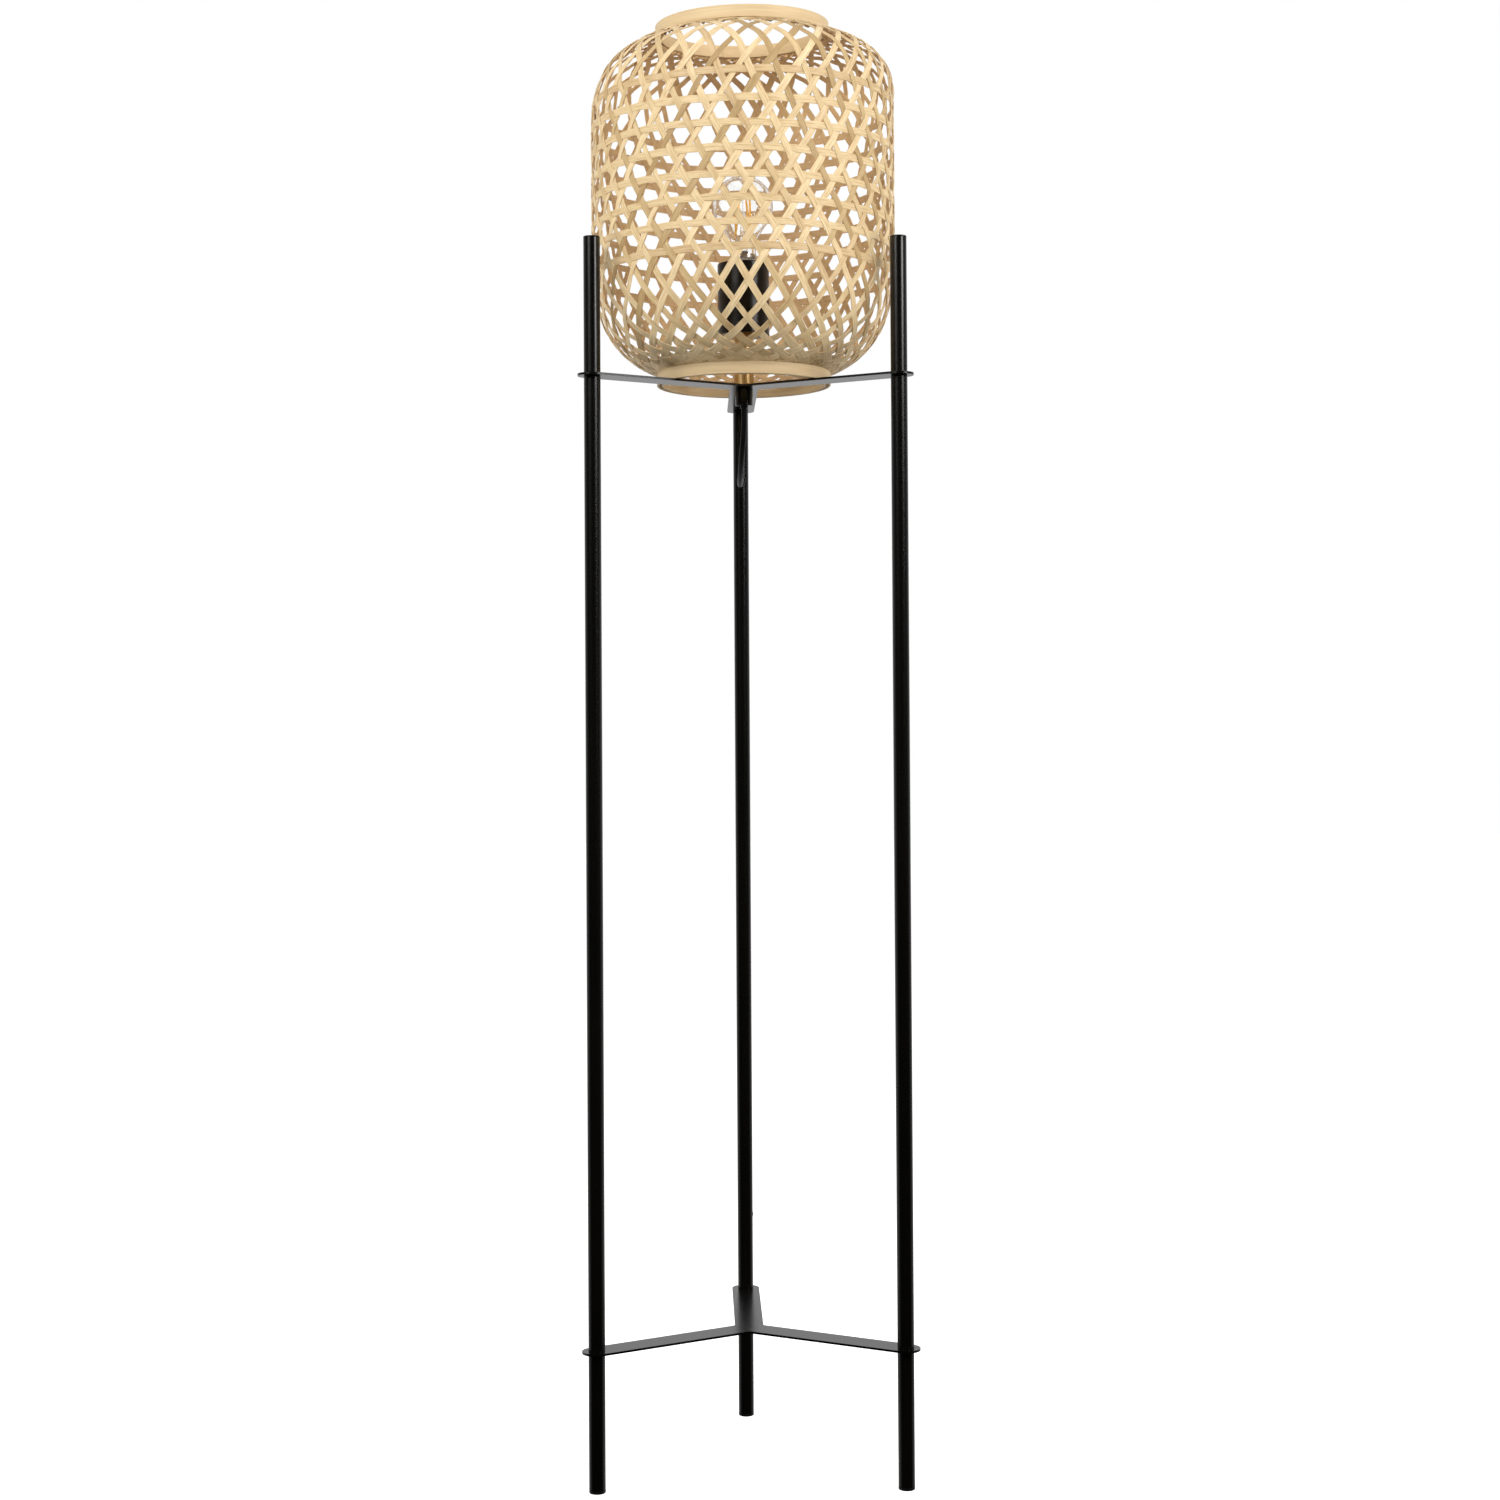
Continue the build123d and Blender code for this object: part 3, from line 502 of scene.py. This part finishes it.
# ---- the lantern's wall
def wall_radius(z):
    """Middle of the woven wall at a height: a straight belly between two rounded ends."""
    top = SHADE_TOP - HOOP_H - NECK_DROP
    bottom = SHADE_BOTTOM + HOOP_H
    belly = SHADE_R - WEAVE_HALF - STRIP_T / 2
    if z > BELLY_TOP:
        share, (power, root) = (z - BELLY_TOP) / (top - BELLY_TOP), TOP_CURVE
    elif z < BELLY_BOTTOM:
        share, (power, root) = (BELLY_BOTTOM - z) / (BELLY_BOTTOM - bottom), BOTTOM_CURVE
    else:
        return belly
    return SEAT_R + (belly - SEAT_R) * max(0.0, 1 - min(share, 1.0) ** power) ** (1 / root)


def wall_line():
    """Heights, radii, outward normals and turns along the wall, from hoop to hoop. A turn counts
    how far a slanting strip has gone round, in steps from the first row."""
    low = SHADE_BOTTOM + STRIP_END_COVER
    high = SHADE_TOP - STRIP_END_COVER
    foot = SHADE_BOTTOM + HOOP_H
    mouth = SHADE_TOP - HOOP_H - NECK_DROP
    easing = np.linspace(0, 1, WALL_POINTS) ** 2.5
    heights = np.concatenate([
        np.linspace(low, foot, RIM_POINTS, endpoint=False),
        foot + (FIRST_ROW_Z - foot) * easing,
        mouth - (mouth - FIRST_ROW_Z) * easing[-2::-1],
        np.linspace(mouth, high, RIM_POINTS)[1:],
    ])
    radii = np.array([wall_radius(z) for z in heights])
    rise, draw = np.gradient(heights), np.gradient(radii)
    size = np.hypot(rise, draw)
    run = np.concatenate([[0.0], np.cumsum(np.hypot(np.diff(heights), np.diff(radii)))])
    slant = SLANT_R + SLANT_CHANGE * (heights - FIRST_ROW_Z)
    rate = slant / radii / np.sqrt(radii**2 - slant**2) / STEP
    turn = np.concatenate([[0.0], np.cumsum((rate[1:] + rate[:-1]) / 2 * np.diff(run))])
    turn -= np.interp(FIRST_ROW_Z, heights, turn)
    return heights, radii, rise / size, -draw / size, turn


wall_z, wall_r, wall_out, wall_up, wall_turn = wall_line()
ROW_ANGLE = math.radians(-90) + FIRST_ROW_PHASE * STEP


def twist(z):
    """How far the weave is turned round at a height: not at all below the belly."""
    return MOUTH_TWIST * STEP * np.clip((z - BELLY_BOTTOM) / (SHADE_TOP - BELLY_BOTTOM), 0, None)


def settle(points):
    """The finished wall's unevenness: the mouth's plane leans and the shoulder stands to +X."""
    moved = points.copy()
    height = points[:, 2]
    mouth = SHADE_TOP - HOOP_H
    lean = smooth((height - LEAN_FROM) / (mouth - LEAN_FROM))
    moved[:, 2] += lean * (RIM_LEAN[0] * points[:, 0] + RIM_LEAN[1] * points[:, 1])
    rising = smooth((height - SHOULDER_FROM) / SHOULDER_RISE)
    falling = 1 - smooth((height - SHOULDER_UNTIL) / (mouth - SHOULDER_UNTIL))
    moved[:, 0] += SHOULDER_SHIFT * rising * falling
    return moved


def wall_points(turns, angles, swing):
    """Points and outward normals on the wall, at turns up the wall and angles round it."""
    z = np.interp(turns, wall_turn, wall_z)
    r = np.interp(turns, wall_turn, wall_r)
    out = np.interp(turns, wall_turn, wall_out)
    up = np.interp(turns, wall_turn, wall_up)
    angles = angles + twist(z)
    normal = np.stack([out * np.cos(angles), out * np.sin(angles), up], axis=1)
    normal /= np.linalg.norm(normal, axis=1)[:, None]
    points = np.stack([r * np.cos(angles), r * np.sin(angles), z], axis=1)
    return settle(points + normal * swing[:, None]), normal


def swing_between(places, signs, wanted):
    """From one crossing to the next: flat while it crosses, and a quick change in between."""
    index = np.clip(np.searchsorted(places, wanted) - 1, 0, len(places) - 2)
    share = (wanted - places[index]) / (places[index + 1] - places[index])
    change = smooth((share - SWING_FROM) / SWING_SHARE)
    return WEAVE_HALF * (signs[index] + (signs[index + 1] - signs[index]) * change)


def slanting_crossings(hand):
    """Where a slanting strip crosses others, and whether it passes over (+1) or under (-1).
    Rising to the right goes over rising to the left, that goes over the level strips, and those
    go over the first. Beyond the level strips the two slanting sets take turns."""
    crossings = []
    for row in range(LOWEST_ROW, HIGHEST_ROW + 1):
        among_levels = abs(row) < LATTICE_ROW
        crossings.append((row / 2, 1 if among_levels or row % 2 == 0 else -1))
    for turn in LEVEL_TURNS:
        crossings.append((turn, -1))
    crossings.sort()
    places, signs = zip(*crossings)
    return np.array(places), hand * np.array(signs, float)


def slanting_strips(hand):
    """The strips that rise to the right (hand +1) or to the left (hand -1), from hoop to hoop."""
    places, signs = slanting_crossings(hand)
    turns = np.arange(wall_turn[0], wall_turn[-1], TURNS_PER_POINT)
    turns = np.append(turns, wall_turn[-1])
    strips = []
    for number in range(STRIP_COUNT):
        stray = random.uniform(-SLANT_STRAY, SLANT_STRAY) * STEP
        wobble = random.uniform(0.0, SLANT_WOBBLE) * STEP
        phase = random.uniform(0, 2 * math.pi)
        width = STRIP_WIDTH * random.uniform(*SLANT_WIDTHS)
        angles = ROW_ANGLE + number * STEP + hand * turns * STEP + stray
        angles = angles + wobble * np.sin(turns * SLANT_WAVES + phase)
        centres, outward = wall_points(turns, angles, swing_between(places, signs, turns))
        section = rounded_section(width, STRIP_T, STRIP_CORNER, 1)
        heights = np.interp(turns, wall_turn, wall_z)
        crowding = smooth((FOOT_SPREAD_TOP - heights) / (FOOT_SPREAD_TOP - SHADE_BOTTOM - HOOP_H))
        strips.append((centres, outward, section, random.random(), 1 + FOOT_SPREAD * crowding))
    return strips


def level_strips():
    """Rings that run between the rows of crossings, each with its ends lapped at the back."""
    strips = []
    lap = LAP_STEPS * STEP
    for number, turn in enumerate(LEVEL_TURNS):
        start = math.radians(LEVEL_START + LEVEL_START_SHIFT * (number % 3))
        angles = np.linspace(start, start + 2 * math.pi + lap, LEVEL_POINTS)
        first = ROW_ANGLE + turn * STEP
        before = math.floor((start - first) / STEP) - 1
        places, signs = [], []
        for crossing in range(before, before + STRIP_COUNT + SPARE_CROSSINGS):
            places += [first + crossing * STEP, first + crossing * STEP + STEP / 2]
            signs += [1, -1]
        swing = swing_between(np.array(places), np.array(signs, float), angles)
        swing = swing - LAP_DROP * smooth((angles - angles[-1] + lap) / LAP_EASING)
        stray = random.uniform(-LEVEL_STRAY, LEVEL_STRAY)
        phase = random.uniform(0, 2 * math.pi)
        (waves, size), (more_waves, more_size) = LEVEL_WOBBLES
        turns = turn + stray + size * np.sin(waves * angles + phase)
        turns = turns + more_size * np.sin(more_waves * angles + 2 * phase)
        centres, outward = wall_points(turns, angles, swing)
        width = LEVEL_WIDTH * random.uniform(*LEVEL_WIDTHS)
        section = rounded_section(width, STRIP_T, STRIP_CORNER, 1)
        strips.append((centres, outward, section, random.random()))
    return strips


def add_weave():
    """Three pieces, one for each direction of the strips."""
    sets = (
        ("strips_rising_right", slanting_strips(1)),
        ("strips_rising_left", slanting_strips(-1)),
        ("strips_level", level_strips()),
    )
    for name, strips in sets:
        piece = strip_mesh(name, strips)
        piece.data.materials.append(materials["bamboo_strip"])
        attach(piece, "shade")
        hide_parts("shade_weave")


# ---- the hoops
def add_hoop(node, name, seam_degrees):
    """A bent bamboo band, a little uneven, whose ends meet in a fine seam."""
    low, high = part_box(node)
    top = "top" in node
    outer = HOOP_R if "outer" in node else INNER_HOOP_R
    middle_z = (low.z + high.z) / 2
    start = math.radians(seam_degrees)
    gap = HOOP_SEAM / outer
    angles = np.linspace(start + gap, start + 2 * math.pi - gap, HOOP_POINTS)
    radius = outer - HOOP_T / 2 - HOOP_WAVE * (1 + np.sin(2 * angles + seam_degrees))
    heights = np.full(len(angles), middle_z)
    points = np.stack([radius * np.cos(angles), radius * np.sin(angles), heights], axis=1)
    if top:
        points[:, 2] += RIM_LEAN[0] * points[:, 0] + RIM_LEAN[1] * points[:, 1]
    outward = np.stack([np.cos(angles), np.sin(angles), np.zeros(len(angles))], axis=1)
    section = rounded_section(HOOP_H, HOOP_T, HOOP_CORNER, 3)
    piece = strip_mesh(name, [(points, outward, section, random.random())])
    piece.data.materials.append(materials["bamboo_hoop"])
    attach(piece, "shade")
    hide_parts(node)


def add_hoops():
    hoops = ("top_outer_hoop", "top_inner_hoop", "bottom_outer_hoop", "bottom_inner_hoop")
    for number, node in enumerate(hoops):
        add_hoop(node, node.replace("hoop", "bamboo_band"), FIRST_SEAM + NEXT_SEAM * number)


# ---- the lead
def fold_points(x_from, x_to, y_from, y_to, centre_z, upwards):
    """Control points of a half turn between two upright runs: the corners of half an octagon."""
    centre_y = (y_from + y_to) / 2
    reach = abs(y_to - y_from) / 2 / math.cos(math.radians(22.5))
    corners = 4
    points = []
    for number in range(corners):
        angle = math.radians(22.5 + 45 * number)
        share = (number + 0.5) / corners
        y = centre_y + math.copysign(reach, y_from - centre_y) * math.cos(angle)
        z = centre_z + (1 if upwards else -1) * reach * math.sin(angle)
        points.append((x_from + (x_to - x_from) * share, y, z))
    return points


def run_points(x, y, z_from, z_to):
    """Two control points that keep an upright run straight."""
    return [(x, y, z_from + (z_to - z_from) * share) for share in (0.33, 0.67)]


def hank_points():
    """Four turns in two columns: inwards in the near column, and outwards again in the other."""
    left = HANK_X - HANK_COLUMN / 2
    right = AWAY_X
    turns = [(left, OUTER_FOLD), (left, INNER_FOLD), (right, INNER_FOLD), (right, OUTER_FOLD)]
    points = [(left, HANK_Y - OUTER_FOLD, HANK_HIGH)]
    for number, (x, fold) in enumerate(turns):
        near, far = HANK_Y - fold, HANK_Y + fold
        points += run_points(x, near, HANK_HIGH, HANK_LOW)
        points += fold_points(x, x, near, far, HANK_LOW, False)
        points += run_points(x, far, HANK_LOW, HANK_HIGH)
        if number + 1 < len(turns):
            next_x, next_fold = turns[number + 1]
            points += fold_points(x, next_x, far, HANK_Y - next_fold, HANK_HIGH, True)
    return points


def cord_curve(name, points):
    """The lead along its control points, as a round tube."""
    curve = bpy.data.curves.new(name, "CURVE")
    curve.dimensions = "3D"
    spline = curve.splines.new("NURBS")
    spline.points.add(len(points) - 1)
    for point, place in zip(spline.points, points):
        point.co = (*place, 1)
    spline.order_u = 3
    spline.use_endpoint_u = True
    curve.resolution_u = 10
    curve.bevel_depth = CORD_R
    curve.bevel_resolution = 6
    curve.use_fill_caps = True
    curve.materials.append(materials["cord_sheath"])
    piece = link(bpy.data.objects.new(name, curve))
    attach(piece, "stand")
    return piece


def add_tie():
    """A hook-and-loop strap once round the hank, with its end lapped over."""
    low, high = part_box("hank_tie")
    middle = (low + high) / 2
    half_x = (high.x - low.x) / 2 - TIE_T
    half_y = (high.y - low.y) / 2 - TIE_T
    outline = []
    for quarter, (right, up) in enumerate(((1, 1), (-1, 1), (-1, -1), (1, -1))):
        for step in range(TIE_CORNER_STEPS + 1):
            angle = math.radians(90 * (quarter + step / TIE_CORNER_STEPS))
            x = right * (half_x - TIE_CORNER) + TIE_CORNER * math.cos(angle)
            y = up * (half_y - TIE_CORNER) + TIE_CORNER * math.sin(angle)
            outline.append((x, y, angle))
    once_round = len(outline)
    outline += [(half_x, y, 2 * math.pi) for y in TIE_LAP]
    points = []
    outward = []
    for number, (x, y, angle) in enumerate(outline):
        lift = TIE_LIFT * float(smooth((number - once_round + TIE_LIFT_POINTS) / TIE_LIFT_POINTS))
        place = (middle.x + x + lift * math.cos(angle), middle.y + y + lift * math.sin(angle), middle.z)
        points.append(place)
        outward.append((math.cos(angle), math.sin(angle), 0))
    section = rounded_section(TIE_HEIGHT, TIE_T, TIE_EDGE, 2)
    piece = strip_mesh("hank_strap", [(np.array(points), np.array(outward), section, 0.5)])
    piece.data.materials.append(materials["tie_fabric"])
    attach(piece, "stand")
    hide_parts("hank_tie")
    return piece


def add_lead():
    short = cord_curve("lead_under_plate", CORD_TO_LEG)
    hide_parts("cord_to_leg")
    tie = add_tie()
    lead = cord_curve("mains_lead", LEAD_TO_HANK + hank_points() + LEAD_TO_PLUG)
    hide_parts("cord_to_switch", "cord_to_hank", "cord_hank", "cord_to_plug")


# ---- floor, lights and camera
def add_floor():
    """Glowing almost white to the camera, and left out of the object's light and reflections."""
    mesh = bpy.data.meshes.new("floor")
    half = 14.0
    corners = [(-half, -half, 0), (half, -half, 0), (half, half, 0), (-half, half, 0)]
    mesh.from_pydata(corners, [], [(0, 1, 2, 3)])
    floor = link(bpy.data.objects.new("floor", mesh))
    n = Nodes("pale_floor")
    n.put("Base Color", (0.80, 0.80, 0.80, 1))
    n.put("Roughness", 1.0)
    n.put("Specular IOR Level", 0.0)
    n.put("Emission Color", (1, 1, 1, 1))
    n.put("Emission Strength", 0.85)
    mesh.materials.append(n.material)
    floor.visible_diffuse = False
    floor.visible_glossy = False


def add_softbox(name, place, target, size, power, colour=(1, 1, 1), mirrored=True):
    """A flat lamp aimed at a target. The camera doesn't see it, and only a mirrored one shows in
    reflections."""
    light = bpy.data.lights.new(name, "AREA")
    light.shape = "RECTANGLE"
    light.size, light.size_y = size
    light.energy = power
    light.color = colour
    lamp = link(bpy.data.objects.new(name, light))
    lamp.location = place
    lamp.rotation_euler = (Vector(target) - Vector(place)).to_track_quat("-Z", "Y").to_euler()
    lamp.visible_camera = False
    lamp.visible_glossy = mirrored


def add_world():
    """White to the camera, also through glass; for light and reflections the backdrop behind is
    bright and the room on the camera's side is dark."""
    world = bpy.data.worlds.new("studio")
    bpy.context.scene.world = world
    world.use_nodes = True
    tree = world.node_tree
    background = tree.nodes["Background"]
    output = tree.nodes["World Output"]
    background.inputs["Color"].default_value = (1, 1, 1, 1)
    background.inputs["Strength"].default_value = 1.0
    lighting = tree.nodes.new("ShaderNodeBackground")
    lighting.inputs["Color"].default_value = (1, 1, 1, 1)
    where = tree.nodes.new("ShaderNodeTexCoord")
    parts = tree.nodes.new("ShaderNodeSeparateXYZ")
    depth = tree.nodes.new("ShaderNodeMapRange")
    for socket, value in (("From Min", -0.3), ("From Max", 0.9), ("To Min", 0.0), ("To Max", 0.78)):
        depth.inputs[socket].default_value = value
    path = tree.nodes.new("ShaderNodeLightPath")
    seen = tree.nodes.new("ShaderNodeMath")
    seen.operation = "MAXIMUM"
    mix = tree.nodes.new("ShaderNodeMixShader")
    for start, end in (
        (where.outputs["Generated"], parts.inputs[0]),
        (parts.outputs["Y"], depth.inputs["Value"]),
        (depth.outputs["Result"], lighting.inputs["Strength"]),
        (path.outputs["Is Camera Ray"], seen.inputs[0]),
        (path.outputs["Is Transmission Ray"], seen.inputs[1]),
        (seen.outputs[0], mix.inputs[0]),
        (lighting.outputs[0], mix.inputs[1]),
        (background.outputs[0], mix.inputs[2]),
        (mix.outputs[0], output.inputs["Surface"]),
    ):
        tree.links.new(start, end)


def add_lights():
    """Two soft lamps in front, one above, and fills that light without showing in reflections."""
    add_softbox("key_softbox", (-1.45, -1.75, 2.35), (0, 0, 1.20), (1.0, 1.1), 42, (1.0, 0.99, 0.97))
    add_softbox("fill_softbox", (1.90, -1.50, 2.00), (0, 0, 1.15), (0.9, 1.0), 34, (1.0, 0.985, 0.98))
    add_softbox("top_softbox", (0.1, -0.2, 3.2), (0, 0, 1.2), (1.6, 1.6), 9)
    warm = (1.0, 0.985, 0.96)
    add_softbox("front_fill", (0.2, -2.9, 0.9), (0, 0, 1.20), (2.4, 1.6), 34, warm, mirrored=False)
    for name, x, power in (("left_fill", -2.4, 23), ("right_fill", 2.4, 28)):
        add_softbox(name, (x, -0.5, 0.9), (0, 0, 1.25), (1.4, 1.4), power, warm, mirrored=False)


def add_camera():
    """The photograph's view: a little left of the lamp's axis and just below half its height."""
    place = Vector((-0.0523143, -2.3706327, 0.7178805))
    yaw, pitch, roll = 0.0181, 0.0170, -0.0058
    forward = Vector((math.sin(yaw) * math.cos(pitch), math.cos(yaw) * math.cos(pitch), math.sin(pitch)))
    level = Vector((math.cos(yaw), -math.sin(yaw), 0))
    upright = level.cross(forward)
    right = math.cos(roll) * level + math.sin(roll) * upright
    up = -math.sin(roll) * level + math.cos(roll) * upright
    camera = bpy.data.cameras.new("camera")
    camera.sensor_width = 36.0
    camera.lens = 57.34
    camera.shift_x = 0.009155
    camera.shift_y = -0.036108
    view = link(bpy.data.objects.new("camera", camera))
    turn = view.matrix_world.copy()
    for column, axis in enumerate((right, up, -forward, place)):
        for row in range(3):
            turn[row][column] = axis[row]
    view.matrix_world = turn
    bpy.context.scene.camera = view


add_camera()
add_world()
add_lights()
add_floor()
paint_cad_nodes()
add_lead()
add_weave()
add_hoops()
bpy.context.scene.view_settings.view_transform = "Standard"
bpy.context.view_layer.update()
